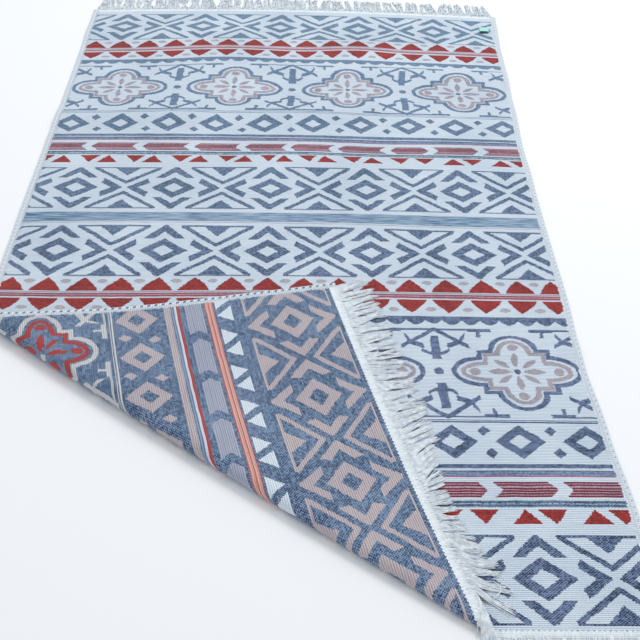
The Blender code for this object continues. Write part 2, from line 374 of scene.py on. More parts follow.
# The yarns, in the order of the chart's numbers. Columns: name, light and dark of the face, light and dark of
# the back
YARNS = (
    ("ground", "E4EEF6", "A6B8CC", "92A8C6", "26385C"),
    ("blue", "8698BC", "1A2846", "CFC2C0", "948C9C"),
    ("outline", "8698BC", "22305A", "DCD9D6", "A6A8B4"),
    ("beige", "C2B6BC", "968C9C", "C04844", "7E2C36"),
    ("red", "BC3A34", "701C22", "E6EFF6", "BECBDA"),
    ("arrow_line", "923444", "601E2E", "B6B8C4", "8A90A8"),
    ("arrow_light", "CDB2C0", "9C7286", "A8B0C2", "7E8AA4"),
    ("fine_grey", "98A5C4", "56668E", "8AA4C2", "4C6888"),
    ("white_line", "98A5C4", "56668E", "E6E8EC", "C6CBD4"),
    ("navy_line", "6C7EA0", "1A2846", "9AA8C2", "70809E"),
    ("pale_beige", "E2ECF4", "B4C4D4", "CFC2C0", "948C9C"),
    ("lilac", "A8A8C4", "646488", "BE5652", "92383C"),
    ("thin_red", "C06874", "9A4452", "BC4C4C", "8E3238"),
    ("coral_edge", "E2ECF4", "A6B8CC", "C76660", "A04C4A"),
    ("double_blue", "7890B2", "22324F", "E2B6AA", "C48E86"),
    ("double_dot", "D2E4E8", "4C688A", "C76660", "A04C4A"),
    ("mauve", "BBA9B8", "958298", "90A0B4", "6A7D96"),
    ("dull_red", "A8525E", "73404F", "A9B5C5", "8797AE"),
    ("pink", "D0A3AE", "A96A78", "B8C2CF", "94A2B5"),
    ("dot", "C4BAC0", "A8A2AE", "BE4644", "8C3036"),
    ("wide_blue", "AEC2D6", "47698F", "CFC2C0", "948C9C"),
    ("dashes", "A8A4BA", "6E6A88", "EAF2F7", "C2D0DC"),
    ("heading", "F1F8FB", "C6D5E0", "F1F8FB", "C6D5E0"),
    ("margin", "E6EFF5", "BCCCD9", "DCE6EE", "A6B8CC"),
)
yarn_number = {yarn[0]: k for k, yarn in enumerate(YARNS)}

chart = bpy.data.node_groups.new("bands_of_motifs", "ShaderNodeTree")
for place in ("Chart", "Loom"):
    chart.interface.new_socket(place, in_out="INPUT", socket_type="NodeSocketVector")
for reading in ("Yarn", "Check", "Rib", "Streak", "Slit"):
    chart.interface.new_socket(reading, in_out="OUTPUT", socket_type="NodeSocketFloat")
chart_in = chart.nodes.new("NodeGroupInput")
chart_out = chart.nodes.new("NodeGroupOutput")
chart_place = chart.nodes.new("ShaderNodeSeparateXYZ")
chart.links.new(chart_in.outputs[0], chart_place.inputs[0])
chart_u = Reading(chart_place.outputs[0])
chart_v = Reading(chart_place.outputs[1])
loom_place = chart.nodes.new("ShaderNodeSeparateXYZ")
chart.links.new(chart_in.outputs[1], loom_place.inputs[0])
loom_u = Reading(loom_place.outputs[0])
loom_v = Reading(loom_place.outputs[1])


def noise(tree, vector, scale_u, scale_v, detail, seed):
    """Soft noise over the loom's sizes, drawn out across or along the rug by its two scales."""
    stretch = tree.nodes.new("ShaderNodeVectorMath")
    stretch.operation = "MULTIPLY_ADD"
    stretch.inputs[1].default_value = (scale_u, scale_v, 1.0)
    stretch.inputs[2].default_value = (seed, seed * 0.37, 0.0)
    tree.links.new(vector, stretch.inputs[0])
    texture = tree.nodes.new("ShaderNodeTexNoise")
    texture.noise_dimensions = "2D"
    texture.inputs["Scale"].default_value = 1.0
    texture.inputs["Detail"].default_value = detail
    tree.links.new(stretch.outputs[0], texture.inputs["Vector"])
    return Reading(texture.outputs["Fac"])


def random_by(tree, *values):
    """A random number from -0.5 to 0.5 for each whole number, or for each pair of them."""
    pair = tree.nodes.new("ShaderNodeCombineXYZ")
    for socket, value in zip(pair.inputs, values):
        tree.links.new(value.socket, socket)
    texture = tree.nodes.new("ShaderNodeTexWhiteNoise")
    texture.noise_dimensions = "2D"
    tree.links.new(pair.outputs[0], texture.inputs["Vector"])
    return Reading(texture.outputs["Value"]) - 0.5


# The motifs waver a little, their edges step from thread to thread, and a thread or a whole pick strays
WAVER_U = 0.0034
WAVER_V = 0.0014
THREAD_STRAY = 0.0012
PICK_STRAY = 0.0010
waver_u = (noise(chart, chart_in.outputs[0], 40.0, 70.0, 1.0, 17.0) - 0.5) * WAVER_U
waver_v = (noise(chart, chart_in.outputs[0], 40.0, 25.0, 1.0, 23.0) - 0.5) * WAVER_V
thread_u = worked("FLOOR", (chart_u + waver_u) / PICK)
thread_v = worked("FLOOR", (chart_v + waver_v) / PICK)
strayed = random_by(chart, thread_u, thread_v)
pick_strayed = random_by(chart, thread_v * 7.0)
u = (thread_u + 0.5) * PICK + strayed * THREAD_STRAY + pick_strayed * PICK_STRAY
v_all = (thread_v + 0.5) * PICK
v = v_all - (v_all > SECOND_START) * SEQUENCE

woven = []


def weave(name, inside):
    """Puts a yarn in where a motif is. Where two meet, the one further down the table of yarns shows."""
    layer = inside * float(yarn_number[name])
    woven.append(woven[-1] | layer if woven else layer)


def lozenge(a, b, size):
    """Less than 1 inside a diamond of this half width and half height, and more than 1 outside it."""
    half_wide, half_high = size
    return a / half_wide + b / half_high


def spot_at(a, b, radius):
    return (squared(a) + squared(b)) < radius**2


# The plain stripes between the rows of motifs. Columns: yarn, v from, v to
STRIPES = (
    ("coral_edge", 0.1580, 0.1598),
    ("double_blue", 0.1598, 0.1635),
    ("double_dot", 0.1635, 0.1657),
    ("double_blue", 0.1657, 0.1690),
    ("coral_edge", 0.1690, 0.1708),
    ("thin_red", 0.2054, 0.2068),
    ("lilac", 0.2068, 0.2098),
    ("white_line", 0.2098, 0.2116),
    ("fine_grey", 0.2116, 0.2143),
    ("navy_line", 0.2143, 0.2158),
    ("pale_beige", 0.2172, 0.2194),
    ("blue", 0.2194, 0.2264),
    ("outline", 0.2966, 0.2984),
    ("outline", 0.3004, 0.3020),
    ("pink", 0.5424, 0.5434),
    ("dull_red", 0.5440, 0.5458),
    ("pink", 0.5458, 0.5490),
    ("dull_red", 0.5490, 0.5510),
    ("mauve", 0.5528, 0.5550),
)
for name, v_from, v_to in STRIPES:
    weave(name, between(v, v_from, v_to))

# X band, twice in each sequence: ringed diamonds with brackets and chevrons, and an X between each two.
# Here a is how far a place is from the nearest diamond's middle, b from the band's, and c from the X's, and
# the edges of chevrons, brackets and legs are straight lines, each with a start and a slope
X_ROWS = (0.0597, 0.6486)
X_HALF_HIGH = 0.0597
X_PITCH = 0.1518
X_FIRST = 0.0713
X_HALF_WIDE = 0.053
RING = (0.035, 0.0293)
RING_HOLE = (0.0157, 0.0132)
LEG_RISE = 0.83
LEG_HALF = 0.0045
b = worked("MINIMUM", abs(v - X_ROWS[0]), abs(v - X_ROWS[1]))
a = abs(from_nearest(u, X_FIRST, X_PITCH))
c = X_PITCH / 2 - a
ring = (lozenge(a, b, RING) < 1.0) & (lozenge(a, b, RING_HOLE) > 1.0)
chevron = (b < 0.062 - a * 1.10) & (b > 0.0445 - a) & (b > 0.0285) & (a < 0.032)
bracket = (b < (c - 0.003) * 0.87) & (b > (c - 0.0205) * 0.80) & (c < 0.042 - b * 0.3)
legs = abs(b - c * LEG_RISE - 0.0145) < LEG_HALF
rim = b > 0.0565
wedge = b > c * 1.13 + 0.034
crossed = (c < X_HALF_WIDE) & (legs | rim | wedge)
weave("blue", (ring | chevron | bracket | crossed) & (b < X_HALF_HIGH))

# Small triangles, set out both ways from the middle of the third gap between medallions
MIRROR = 0.607
RIGHT_CLOSER = 0.918
TRIANGLE_ROW = 0.1350
TRIANGLE_HIGH = 0.0215
TRIANGLE_HALF = 0.0160
TRIANGLE_PITCH = 0.0725
FIRST_HANGING = 0.019
FIRST_STANDING = 0.0625
off_mirror = u - MIRROR
away = abs(off_mirror) * (1.0 - (off_mirror > 0.0) * (1.0 - RIGHT_CLOSER))
up = v - TRIANGLE_ROW
hanging_half = up * (TRIANGLE_HALF / TRIANGLE_HIGH)
hanging = abs(from_nearest(away, FIRST_HANGING, TRIANGLE_PITCH)) < hanging_half
standing = abs(from_nearest(away, FIRST_STANDING, TRIANGLE_PITCH)) < TRIANGLE_HALF - hanging_half
standing = standing & (away > FIRST_STANDING - TRIANGLE_PITCH / 2)
weave("red", (hanging | standing) & between(up, 0.0, TRIANGLE_HIGH))

# Arrows, each with a point and a notched tail, made of six lines
ARROW_ROW = 0.1856
ARROW_PITCH = 0.083
ARROW_FIRST = 0.0317
ARROW_HALF = 0.0117
ARROW_LINE = 0.0042
DARK_SHARE = 0.56
ARROW_GAP = 0.0165
NOTCH = 0.010
POINT = 0.011
b = v - ARROW_ROW
part = abs(b) / ARROW_HALF
past_tip = worked("FRACT", (abs(off_mirror) - ARROW_FIRST) / ARROW_PITCH) * ARROW_PITCH
arrow = (past_tip > ARROW_GAP - part * NOTCH) & (past_tip < ARROW_PITCH - part * POINT) & (part < 1.0)
lines = worked("FRACT", (b + ARROW_HALF) / ARROW_LINE) < DARK_SHARE
weave("arrow_line", arrow & lines)
weave("arrow_light", arrow & (1.0 - lines))

# Diamonds with a hole, and a small solid one above and below each gap, a little off its middle
DIAMOND_ROW = 0.2640
DIAMOND_PITCH = 0.0822
DIAMOND_FIRST = 0.0320
DIAMOND = (0.031, 0.029)
DIAMOND_HOLE = (0.0137, 0.0123)
SMALL_DIAMOND = (0.008, 0.009)
b = v - DIAMOND_ROW
a = abs(from_nearest(u, DIAMOND_FIRST, DIAMOND_PITCH))
diamond = (lozenge(a, abs(b), DIAMOND) < 1.0) & (lozenge(a, abs(b), DIAMOND_HOLE) > 1.0)
c = from_nearest(u, DIAMOND_FIRST + DIAMOND_PITCH / 2, DIAMOND_PITCH)
small_above = lozenge(abs(c + 0.002), abs(b - 0.0185), SMALL_DIAMOND) < 1.0
small_below = lozenge(abs(c - 0.004), abs(b + 0.0195), SMALL_DIAMOND) < 1.0
weave("blue", diamond | small_above | small_below)

# Medallions: a clover outline, a finer one inside it, eight petals and a dot in each lobe
MEDALLION_ROW = 0.3910
MEDALLION_PITCH = 0.2046
MEDALLION_FIRST = 0.0949
HUB = 0.0045
LOBE_DOT = 0.007
SIDE_DOT_AT = 0.055
UPPER_DOT_AT = 0.046

# The medallion's four outlines, from the outside in. Columns: half width and half height of the block, half
# width of the lobes above and below and where they end, half height of the side lobes and where they end
CLOVERS = (
    (0.0490, 0.0420, 0.0325, 0.0725, 0.0285, 0.0850),
    (0.0425, 0.0358, 0.0262, 0.0662, 0.0222, 0.0786),
    (0.0418, 0.0348, 0.0238, 0.0613, 0.0188, 0.0726),
    (0.0357, 0.0287, 0.0176, 0.0552, 0.0126, 0.0666),
)

# Its petals, each with where it starts and ends, out from the middle, and its half width
SIDE_PETAL = (0.007, 0.039, 0.0050)
UPRIGHT_PETAL = (0.0075, 0.0355, 0.0046)
SLANTING_PETAL = (0.010, 0.035, 0.0042)
SLANT = 0.8
a = abs(from_nearest(u, MEDALLION_FIRST, MEDALLION_PITCH))
b = abs(v - MEDALLION_ROW)
outer, hollow, fine, core = [clover(a, b, *sizes) for sizes in CLOVERS]
weave("outline", (outer & (1.0 - hollow)) | spot_at(a, b, HUB))
slant_length = math.hypot(1.0, SLANT)
along = (a + b * SLANT) / slant_length
across = (a * SLANT - b) / slant_length
petals = petal(a, b, *SIDE_PETAL) | petal(b, a, *UPRIGHT_PETAL) | petal(along, across, *SLANTING_PETAL)
lobe_dots = spot_at(a - SIDE_DOT_AT, b, LOBE_DOT) | spot_at(a, b - UPPER_DOT_AT, LOBE_DOT)
weave("beige", (fine & (1.0 - core)) | petals | lobe_dots)

# Between medallions: a dot, a bar with curled arms, and crossed strokes under a broken line. Here c is how
# far a place is from the middle of the gap
GAP_DOT = 0.0065
BAR_HALF = 0.006
ARM_HALF = 0.0033
ROOF_HALF = 0.0042
STROKE_HALF = 0.0050
c = MEDALLION_PITCH / 2 - a
bar = (c < BAR_HALF) & between(b, 0.0235, 0.0705)
arms = (abs(b - squared(c - 0.004) * 40.0 - 0.0345) < ARM_HALF) & (c < 0.0185)
roof = (abs(b + c * 0.791 - 0.0845) < ROOF_HALF) & (c < 0.0455)
bend = c - 0.033
stroke = worked("MAXIMUM", bend * 1.94, bend * 0.457)
crossing = (abs(b - stroke - 0.058) < STROKE_HALF) & between(c, 0.0155, 0.041)
broken_line = between(b, 0.0823, 0.0857) & (c < 0.0765)
line_end = between(b, 0.0793, 0.0857) & between(c, 0.045, 0.0765)
tick = between(c, 0.0565, 0.0615) & between(b, 0.068, 0.083)
weave("outline", spot_at(c, b, GAP_DOT) | bar | arms | roof | crossing | broken_line | line_end | tick)

# The scalloped band, with a narrower scallop at the middle of each gap
SCALLOP_HALF = 0.0130
SCALLOP_HIGH = 0.0104
SCALLOP_FROM = 0.4850
GAP_SCALLOP_HALF = 0.0113
GAP_SCALLOP_HIGH = 0.0080
GAP_SCALLOP_FROM = 0.4875
SCALLOPED = (0.48, 0.5033)
wave = squared(from_nearest(a, 0.0, 2 * SCALLOP_HALF) / SCALLOP_HALF) * SCALLOP_HIGH + SCALLOP_FROM
gap_wave = squared(c / GAP_SCALLOP_HALF) * GAP_SCALLOP_HIGH + GAP_SCALLOP_FROM
hem = wave + (gap_wave - wave) * (c < GAP_SCALLOP_HALF)
weave("blue", (v > hem) & between(v, *SCALLOPED))

# Half-hexagons, one row hanging and one standing on a group of stripes, with dots between their points
HEXAGON_PITCH = 0.05025
HEXAGON_FIRST = 0.0253
HEXAGON_HIGH = 0.0290
HEXAGON_HALF = 0.0212
HEXAGON_CURVE = 1.35
HANGING_FROM = 0.5393
STANDING_FROM = 0.5570
DOT_ROWS = (0.5180, 0.5780)
DOT_WIDE = 0.0075
DOT_HIGH = 0.0045
a = abs(from_nearest(u, HEXAGON_FIRST, HEXAGON_PITCH))
reach = worked("MAXIMUM", (HANGING_FROM - v) / HEXAGON_HIGH, (v - STANDING_FROM) / HEXAGON_HIGH)
narrowed = worked("POWER", worked("MAXIMUM", reach, 0.0), HEXAGON_CURVE)
weave("red", (a < (1.0 - narrowed) * HEXAGON_HALF) & between(reach, 0.0, 1.0))
from_row = worked("MINIMUM", abs(v - DOT_ROWS[0]), abs(v - DOT_ROWS[1]))
weave("dot", (squared((HEXAGON_PITCH / 2 - a) / DOT_WIDE) + squared(from_row / DOT_HIGH)) < 1.0)

# One wide streaked stripe in the middle of the rug, with a thin line by it, and the headings past the
# pattern's ends, which start in small teeth
WIDE_STRIPE = (0.7198, 0.7480)
THIN_LINE = (0.7160, 0.7174)
TOOTH = 0.0056
TOOTH_HIGH = 0.0024
HEADING_FROM = 0.0058
weave("wide_blue", between(v_all, *WIDE_STRIPE))
weave("mauve", between(v_all, *THIN_LINE))
tooth = abs(worked("FRACT", loom_u / TOOTH) - 0.5) * (2 * TOOTH_HIGH) - TOOTH_HIGH / 2
past_end = worked("MAXIMUM", 0.0 - loom_v, loom_v - PATTERN_LENGTH) - HEADING_FROM
weave("heading", past_end > tooth)

# The motifs stop raggedly a little short of the cords, in plain picks, and a line of dashes ends the pattern
# at the near heading
RAGGED = 0.0024
MARGIN = 0.0030
DASH_PITCH = 0.0033
DASH_HIGH = 0.0012
DASH_SHARE = 0.55
short_of = pick_strayed * RAGGED + MARGIN
weave("margin", (loom_u - INSET < short_of) | (WIDTH - INSET - loom_u < short_of))
dashed = worked("FRACT", loom_u / DASH_PITCH) < DASH_SHARE
weave("dashes", between(loom_v, -HEADING_FROM - DASH_HIGH, -HEADING_FROM) & dashed)

# How the threads lie over each other: a check where blue yarn floats, uneven in its tone from float to float,
# and ribs where white yarn does
FLOAT_WIDE = 0.0019
FLOAT_LONG = 0.0017
TUFT = 0.0026
streak = noise(chart, chart_in.outputs[0], 28.0, 700.0, 2.0, 3.0)
slit = noise(chart, chart_in.outputs[1], 420.0, 30.0, 1.0, 8.0)
tuft = random_by(chart, worked("FLOOR", chart_u / TUFT), worked("FLOOR", chart_v / TUFT))
check = worked("SINE", chart_u * (math.pi / FLOAT_WIDE)) * worked("SINE", chart_v * (math.pi / FLOAT_LONG))
check = limited(check * 1.6 + strayed + 0.62) * 0.66 + tuft * 0.62 + (streak - 0.5) * 0.9 + 0.17
rib = abs(worked("SINE", chart_v * (math.pi / RIB)))
for socket, value in zip(chart_out.inputs, (woven[-1], check, rib, streak, slit)):
    chart.links.new(value.socket, socket)


def sight(code):
    """A colour as it is seen, such as DAE6F0, in the renderer's linear numbers."""
    parts = [int(code[k : k + 2], 16) / 255 for k in (0, 2, 4)]
    return [p / 12.92 if p <= 0.04045 else ((p + 0.055) / 1.055) ** 2.4 for p in parts] + [1.0]


RAMP_SPAN = 32


def yarn_colours(tree, number, column):
    """Looks a yarn's number up on a ramp that has room for 32 yarns."""
    ramp = tree.nodes.new("ShaderNodeValToRGB")
    ramp.color_ramp.interpolation = "CONSTANT"
    stops = ramp.color_ramp.elements
    stops.remove(stops[1])
    stops[0].position = 0.0
    stops[0].color = sight(YARNS[0][column])
    for k, row in enumerate(YARNS[1:], start=1):
        stops.new((k - 0.5) / RAMP_SPAN).color = sight(row[column])
    tree.links.new((number / RAMP_SPAN).socket, ramp.inputs[0])
    return ramp.outputs[0]


def blended(tree, share, first, second, way="MIX"):
    """Mixes two colours. Each is a socket or a colour."""
    mix = tree.nodes.new("ShaderNodeMix")
    mix.data_type = "RGBA"
    mix.blend_type = way
    for socket, value in zip((mix.inputs[0], mix.inputs[6], mix.inputs[7]), (share, first, second)):
        if isinstance(value, Reading):
            tree.links.new(value.socket, socket)
        elif isinstance(value, bpy.types.NodeSocket):
            tree.links.new(value, socket)
        else:
            socket.default_value = value
    return mix.outputs[2]


def matte(name, roughness, sheen):
    """A matte finish with a soft sheen over it."""
    material = bpy.data.materials.new(name)
    material.use_nodes = True
    shader = material.node_tree.nodes["Principled BSDF"]
    shader.inputs["Roughness"].default_value = roughness
    shader.inputs["Sheen Weight"].default_value = sheen
    shader.inputs["Sheen Roughness"].default_value = 0.6
    shader.inputs["Specular IOR Level"].default_value = 0.1
    return material, material.node_tree, shader


def relief(tree, shader, height, depth):
    bump = tree.nodes.new("ShaderNodeBump")
    bump.inputs["Strength"].default_value = 1.0
    bump.inputs["Distance"].default_value = depth
    tree.links.new(height.socket, bump.inputs["Height"])
    tree.links.new(bump.outputs[0], shader.inputs["Normal"])


TEALED = 0.5
# Painted sheen on the blue yarns: how much, from where along the rug, and how fast it grows
SHEEN_PAINTED_SHARE = 0.30
SHEEN_PAINTED_FROM = 0.5
SHEEN_PAINTED_RATE = 1.1
WEAVE_RELIEF = 0.0007


def kilim_side(name, light_column, checked_when_ground):
    """One side of the cloth. On the back the ground is the checked yarn, and on the face the motifs are."""
    material, tree, shader = matte(name, 0.92, 0.15)
    pattern = tree.nodes.new("ShaderNodeGroup")
    pattern.node_tree = chart
    for socket, layer in zip(pattern.inputs, ("chart", "loom")):
        uv = tree.nodes.new("ShaderNodeUVMap")
        uv.uv_map = layer
        tree.links.new(uv.outputs[0], socket)
    number, check, rib, streak, slit = [Reading(socket) for socket in pattern.outputs]
    ground = number < 0.5
    plain = number > yarn_number["heading"] - 0.5
    checked = ground if checked_when_ground else 1.0 - (ground | plain)
    streaked = abs(number - float(yarn_number["wide_blue"])) < 0.5

    # Painted shade: where a yarn lies in ribs, each rib's groove is painted in the yarn's dark colour and its
    # crest in the light one, with streaks of uneven tone over them
    rib_shade_and_streaks = (1.0 - rib) * 0.95 + streak * 0.6 - 0.2
    depth = checked * check + (1.0 - checked) * rib_shade_and_streaks
    depth = depth + streaked * ((streak - 0.5) * 3.4 + 0.5 - depth)
    depth = depth + plain * ((slit - 0.5) * 1.1 + 0.15 - depth)
    shade = noise(tree, uv.outputs[0], 9.0, 9.0, 3.0, 11.0)
    depth = limited(depth + (shade - 0.5) * 0.5)
    light = yarn_colours(tree, number, light_column)
    dark = yarn_colours(tree, number, light_column + 1)
    colour = blended(tree, depth, light, dark)

    # The checked yarn turns to teal in places. Painted sheen: the blue yarns are lightened towards a pale
    # teal more and more towards the far end, where the cloth is seen at a grazing angle
    teal = noise(tree, uv.outputs[0], 14.0, 22.0, 2.0, 31.0) * 1.6 - 0.4
    colour = blended(tree, checked * teal * TEALED, colour, sight("B4E0E0"), "MULTIPLY")
    place = tree.nodes.new("ShaderNodeSeparateXYZ")
    tree.links.new(uv.outputs[0], place.inputs[0])
    painted_far_sheen = limited((Reading(place.outputs[1]) - SHEEN_PAINTED_FROM) * SHEEN_PAINTED_RATE)
    is_blue = between(number, 0.5, yarn_number["outline"] + 0.5)
    colour = blended(tree, painted_far_sheen * is_blue * SHEEN_PAINTED_SHARE, colour, sight("86B4C8"))
    tree.links.new(colour, shader.inputs["Base Color"])
    relief(tree, shader, rib * 0.6 + (1.0 - check) * 0.4 + ground * 0.3, WEAVE_RELIEF)
    return material


cloth.data.materials.append(kilim_side("woven_face", 1, False))
cloth.data.materials.append(kilim_side("woven_back", 3, True))
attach(cloth, "root")
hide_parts("rug_cloth")


# The edgings. A white cotton cord is laid along each selvedge and overcast with thread, wrap beside wrap,
# with a dark stitch at every third wrap or so; on the left it follows the corner over.
EDGING_WIDE = 0.0080
EDGING_THICK = 0.0038
OUTWARD = 0.0006
WRAP = 0.0033
RINGS_A_WRAP = 4
CORD_SIDES = 12
WRAP_SWELL = 0.16
DARK_STITCH = 0.0098

# A dark stitch is a slanting dash: bold on the cord's underside, which the turned corner shows, and short and
# faint on its top
STITCH_SLANT = 0.012
FAINT = 0.55
edging_cotton, tree, shader = matte("overcast_cotton", 0.9, 0.15)
uv = tree.nodes.new("ShaderNodeUVMap")
uv.uv_map = "cord"
split = tree.nodes.new("ShaderNodeSeparateXYZ")
tree.links.new(uv.outputs[0], split.inputs[0])
around = Reading(split.outputs[0])
along = Reading(split.outputs[1])
in_wrap = worked("FRACT", along / WRAP + around)
groove = 1.0 - worked("SINE", in_wrap * math.pi)
stitch = worked("FRACT", (along + around * STITCH_SLANT) / DARK_STITCH)
below = (stitch < 0.38) & between(around, 0.41, 0.57)
above = (stitch < 0.26) & between(worked("FRACT", around + 0.5), 0.46, 0.56)
dash = below | (above * FAINT)
thread = noise(tree, uv.outputs[0], 30.0, 900.0, 2.0, 5.0)
# Painted shade: the white cord is darker in the groove between its wraps, with thread streaks of uneven tone
# over it
white = blended(tree, groove * 0.55 + thread * 0.35 - 0.1, sight("E4EDF3"), sight("AEBBC8"))
tree.links.new(blended(tree, dash * 0.85, white, sight("33425A")), shader.inputs["Base Color"])
relief(tree, shader, 1.0 - groove, 0.0004)


def overcast(name, node, u_low):
    """One cord, drawn as a tube round its core and along the selvedge, with its wraps raised."""
    wraps = round(cloth_long / WRAP)
    bm = grid(CORD_SIDES, wraps * RINGS_A_WRAP)
    cord_layer = bm.loops.layers.uv.new("cord")
    for face in bm.faces:
        for loop in face.loops:
            loop[cord_layer].uv = (loop.vert.co.x, loop.vert.co.y * cloth_long)
    for vert in bm.verts:
        around, gone = vert.co.x, vert.co.y
        angle = around * 2 * math.pi
        swell = 1.0 - WRAP_SWELL * (1.0 - abs(math.sin(math.pi * (gone * wraps + around))))
        edge_u = u_low + EDGING_WIDE * (0.5 + 0.5 * swell * math.sin(angle))
        edge_v = gone * cloth_long - HEADING
        level = (EDGING_THICK - CLOTH_THICK) / 2
        # The cord stands proud of the side that faces up, so the left one changes sides in the roll
        if u_low < WIDTH / 2:
            level *= eased(((FOLD_LEFT - ROLL_AT_LEFT, -1.0), (FOLD_LEFT, 1.0)), edge_v, 1)
        vert.co = lay(edge_u, edge_v, level + 0.5 * EDGING_THICK * swell * math.cos(angle))
    bmesh.ops.remove_doubles(bm, verts=bm.verts[:], dist=0.00002)
    rims = [edge for edge in bm.edges if edge.is_boundary]
    bmesh.ops.holes_fill(bm, edges=rims, sides=0)
    bmesh.ops.recalc_face_normals(bm, faces=bm.faces[:])
    cord = keep(bm, name)
    cord.data.materials.append(edging_cotton)
    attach(cord, "root")
    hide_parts(node)
    return cord


left_cord = overcast("overcast_left", "edging_left", -OUTWARD)
right_cord = overcast("overcast_right", "edging_right", WIDTH - EDGING_WIDE + OUTWARD)


# The fringes. Past the last picks of the white heading the warp is left long, in loose clumps of soft cotton
# yarn; at the turned corner it spills off the edge onto the rug's face and sweeps down round the roll's end.
SPLIT_U = 0.652
GAP = 0.0003
CLUMP_PITCH = 0.0056
STRAND_THICK = 0.0011
FRINGE_LENGTH = 0.058
STRAND_POINTS = 11
TIP_NARROWED = 0.4
TOP_STEP = 0.004
TOP_CELL = 0.005

# A clump has turned to its own way, drawn together and lain down by these shares of its length
TURNED_BY = 0.22
GATHERED_BY = 0.5
LIES_BY = 0.45

# How far clumps and yarns differ: a clump's bearing in degrees and its sway, and a yarn's stray and wave
BEARING_SPREAD = 8.0
CLUMP_SWAY = 0.0022
YARN_STRAY = 0.0016
YARN_WAVE = 0.0009

# How the near strands lie. Columns: u, the way they point in degrees from +X, and their reach as a share
NEAR_SWEEP = (
    (0.00, 26.0, 0.95),
    (0.10, 22.0, 0.95),
    (0.20, 8.0, 0.92),
    (0.27, 22.0, 0.95),
    (0.33, 36.0, 0.88),
    (0.375, 52.0, 0.70),
    (0.41, 22.0, 0.52),
    (0.445, 0.0, 0.52),
    (0.48, -8.0, 0.70),
    (0.53, -10.0, 0.88),
    (0.549, -14.0, 0.96),
    (0.560, -88.0, 1.00),
    (0.60, -98.0, 1.00),
    (0.63, -108.0, 1.00),
    (0.66, -90.0, 1.00),
    (0.80, -90.0, 1.00),
)

fringe_cotton, tree, shader = matte("loose_cotton", 0.9, 0.2)
uv = tree.nodes.new("ShaderNodeTexCoord")
shade = noise(tree, uv.outputs["Object"], 150.0, 150.0, 1.0, 1.0) * 1.4 - 0.25
colour = blended(tree, shade, sight("FBFDFE"), sight("CCD9E3"))
# Painted shade: the far fringe is darkened in specks, standing in for the shadows that fall between its yarns
split = tree.nodes.new("ShaderNodeSeparateXYZ")
tree.links.new(uv.outputs["Object"], split.inputs[0])
far_off = Reading(split.outputs[1]) > 0.6
painted_shadow_between_yarns = (noise(tree, uv.outputs["Object"], 420.0, 120.0, 1.0, 6.0) > 0.60) * 0.65 + 0.14
tree.links.new(blended(tree, far_off * painted_shadow_between_yarns, colour, sight("6C8494")), shader.inputs["Base Color"])

# The cloth's height over the floor plan, for the strands to lie on
tops = {}
for i in range(round(WIDTH / TOP_STEP) + 1):
    for j in range(int(cloth_long / TOP_STEP) + 1):
        for side in (-0.5, 0.5):
            spot = lay(i * TOP_STEP, j * TOP_STEP - HEADING, side * CLOTH_THICK)
            key = (math.floor(spot.x / TOP_CELL), math.floor(spot.y / TOP_CELL))
            tops[key] = max(tops.get(key, 0.0), spot.z)


def top_at(x, y):
    """The height of whatever lies under a place, eased between cells."""
    x = x / TOP_CELL - 0.5
    y = y / TOP_CELL - 0.5
    i, j = math.floor(x), math.floor(y)
    x -= i
    y -= j
    near = tops.get((i, j), 0.0) * (1 - x) + tops.get((i + 1, j), 0.0) * x
    far = tops.get((i, j + 1), 0.0) * (1 - x) + tops.get((i + 1, j + 1), 0.0) * x
    return near * (1 - y) + far * y


def clump_line(root, outward, aim, length, rng):
    """The middle of one clump from the cloth's edge to its tip."""
    side = Vector((-aim.y, aim.x, 0.0))
    sway = rng.uniform(-1.0, 1.0) * CLUMP_SWAY
    phase = rng.uniform(0.0, math.pi)
    spot = root.copy()
    line = [spot.copy()]
    for k in range(1, STRAND_POINTS):
        gone = k / (STRAND_POINTS - 1)
        turn = min(gone / TURNED_BY, 1.0)
        way = outward.lerp(aim, turn * turn * (3 - 2 * turn)).normalized()
        spot = spot + way * (length / (STRAND_POINTS - 1))
        line.append(spot + side * (sway * math.sin(phase + 5.0 * gone) * gone))
    return line


def strand(curve, line, across_from, across_to, root, settings):
    """One yarn: it leaves the heading a few millimetres inside the edge and follows its clump."""
    offset, gather, stray, wave, phase, reach, level = settings
    spline = curve.splines.new("POLY")
    spline.points.add(STRAND_POINTS)
    spline.points[0].co = (*root, 1.0)
    edge = line[0].z + (root.z - line[0].z) * 0.8
    for n in range(STRAND_POINTS):
        gone = n / (STRAND_POINTS - 1) * reach
        place = gone * (STRAND_POINTS - 1)
        step = min(int(place), STRAND_POINTS - 2)
        spot = line[step].lerp(line[step + 1], place - step)
        drawn = offset * (1.0 - gather * min(gone / GATHERED_BY, 1.0)) + stray * gone**1.5
        across = across_from.lerp(across_to, min(gone / 0.3, 1.0))
        spot = spot + across * (drawn + wave * math.sin(phase + 8.0 * gone) * min(gone / 0.2, 1.0))
        under = top_at(spot.x, spot.y) + STRAND_THICK * (0.5 + 1.6 * level)
        fall = min(gone / LIES_BY, 1.0) ** 1.2
        spot.z = max(under if n > 1 else STRAND_THICK * 0.5, edge + (under - edge) * fall)
        spline.points[n + 1].co = (*spot, 1.0)
        spline.points[n + 1].radius = 1.0 - TIP_NARROWED * gone


